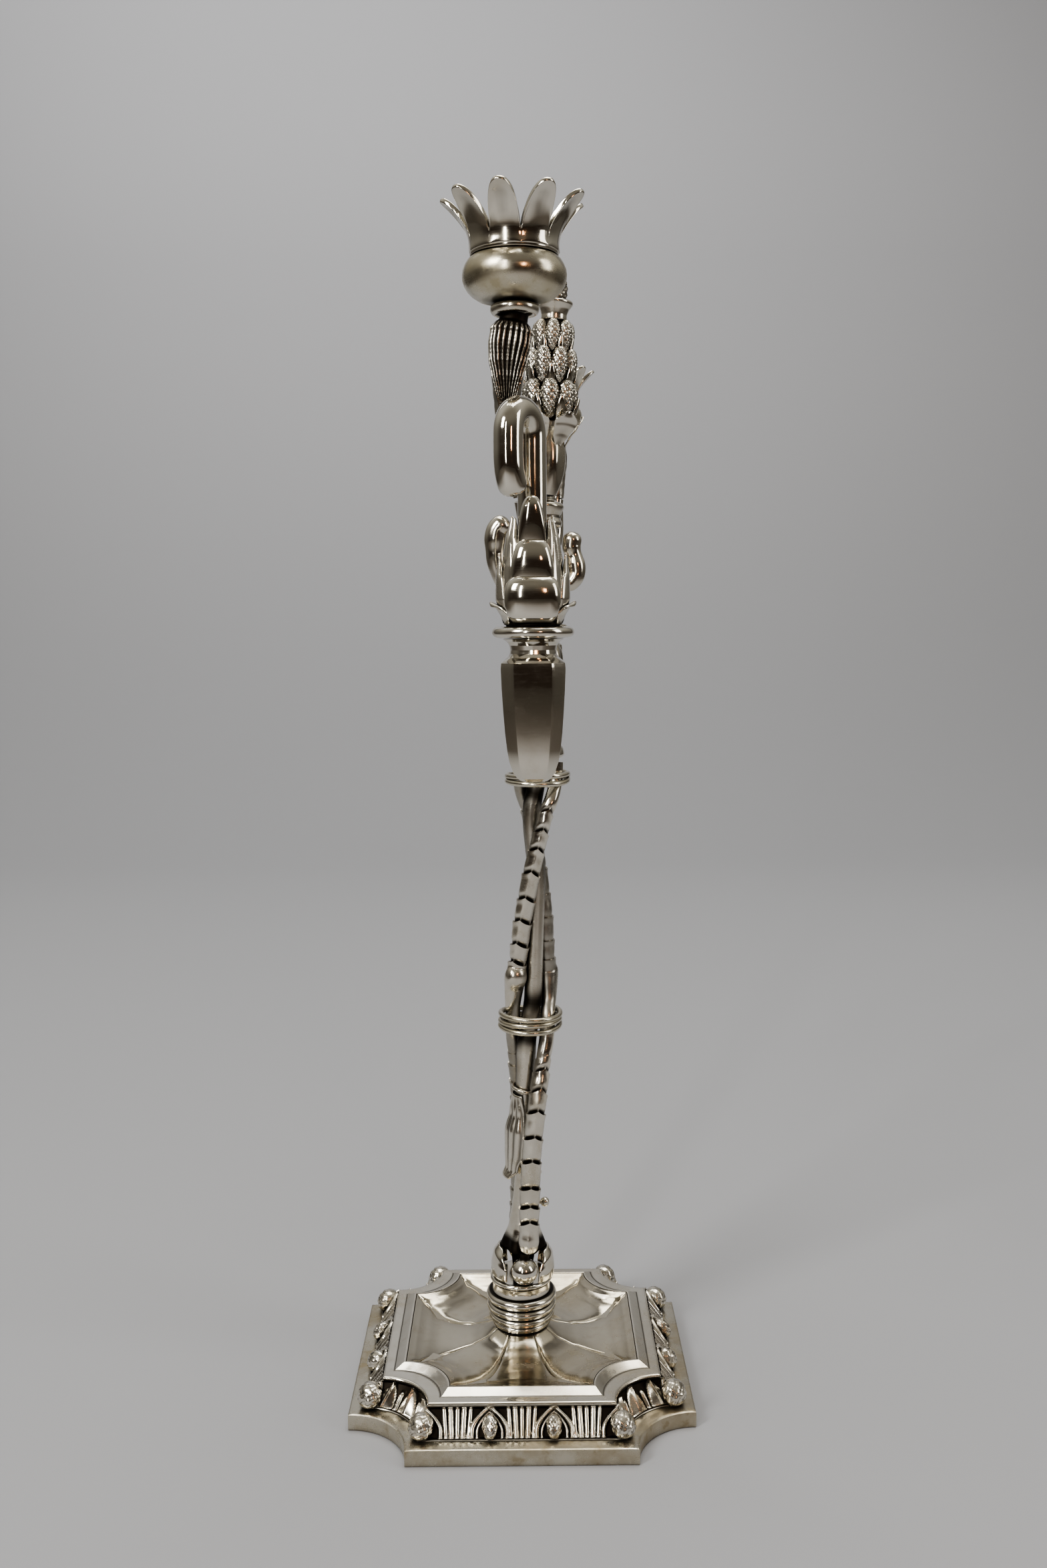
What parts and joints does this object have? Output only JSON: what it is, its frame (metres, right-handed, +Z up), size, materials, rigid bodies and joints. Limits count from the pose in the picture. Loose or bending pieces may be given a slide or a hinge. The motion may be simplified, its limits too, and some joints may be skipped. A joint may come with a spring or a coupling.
{
  "type": "two-light candelabrum",
  "caption": "Silver candelabrum with a square dished foot, a bundled stem tied with wire, curved arms with petal nozzles and a tall centre finial.",
  "frame": {"origin": "centre of the foot's underside, on the surface it stands on", "axes": "+Z up; -Y towards the front cup; +X to the right of the front"},
  "size_m": [0.135, 0.3182, 0.4432],
  "materials": {
    "silver_polished": "polished silver with light wear and a warm tarnish",
    "silver_oxidised": "chased silver with black oxide in the recesses",
    "steel_fixing": "plain steel"
  },
  "bodies": {
    "stand": {"arm_lower_front": "silver_polished", "arm_lower_rear": "silver_polished", "arm_upper_front": "silver_polished", "arm_upper_rear": "silver_polished", "base_bottom_plate": "silver_polished", "base_dish": "silver_polished", "base_frieze": "silver_oxidised", "base_plinth": "silver_polished", "calyx_front": "silver_polished", "calyx_rear": "silver_polished", "clamp_nut": "steel_fixing", "core_rod": "silver_oxidised", "cup_bulb_front": "silver_polished", "cup_bulb_rear": "silver_polished", "cup_collar_front": "silver_polished", "cup_collar_rear": "silver_polished", "cup_leaf_front": "silver_oxidised", "cup_leaf_rear": "silver_oxidised", "cup_stem_front": "silver_polished", "cup_stem_rear": "silver_polished", "disc_front": "silver_polished", "disc_rear": "silver_polished", "dish_washer": "steel_fixing", "finial_baluster": "silver_polished", "finial_calyx": "silver_polished", "finial_cap": "silver_polished", "finial_ears": "silver_oxidised", "finial_pod": "silver_polished", "foot_bead_front": "silver_polished", "foot_bead_rear": "silver_polished", "foot_collar": "silver_polished", "foot_leaf_left": "silver_polished", "foot_leaf_right": "silver_polished", "hub": "silver_polished", "pendant_front": "silver_polished", "pendant_rear": "silver_polished", "scroll_front": "silver_polished", "scroll_rear": "silver_polished", "sheath_leaf_left": "silver_oxidised", "sheath_leaf_right": "silver_oxidised", "sheath_ring": "silver_polished", "side_curl_left": "silver_polished", "side_curl_right": "silver_polished", "stalk_front": "silver_oxidised", "stalk_rear": "silver_oxidised", "stem_skirt": "silver_polished", "tie_lower": "silver_polished", "tie_rod": "steel_fixing", "tie_upper": "silver_polished"},
    "nozzle_front": {"nozzle_front": "silver_polished"},
    "nozzle_rear": {"nozzle_rear": "silver_polished"}
  },
  "joints": [
    {"name": "lift_front", "type": "slide", "parent": "stand", "child": "nozzle_front", "axis": [0, 0, 1], "range_m": [0, 0.03]},
    {"name": "lift_rear", "type": "slide", "parent": "stand", "child": "nozzle_rear", "axis": [0, 0, 1], "range_m": [0, 0.03]}
  ]
}
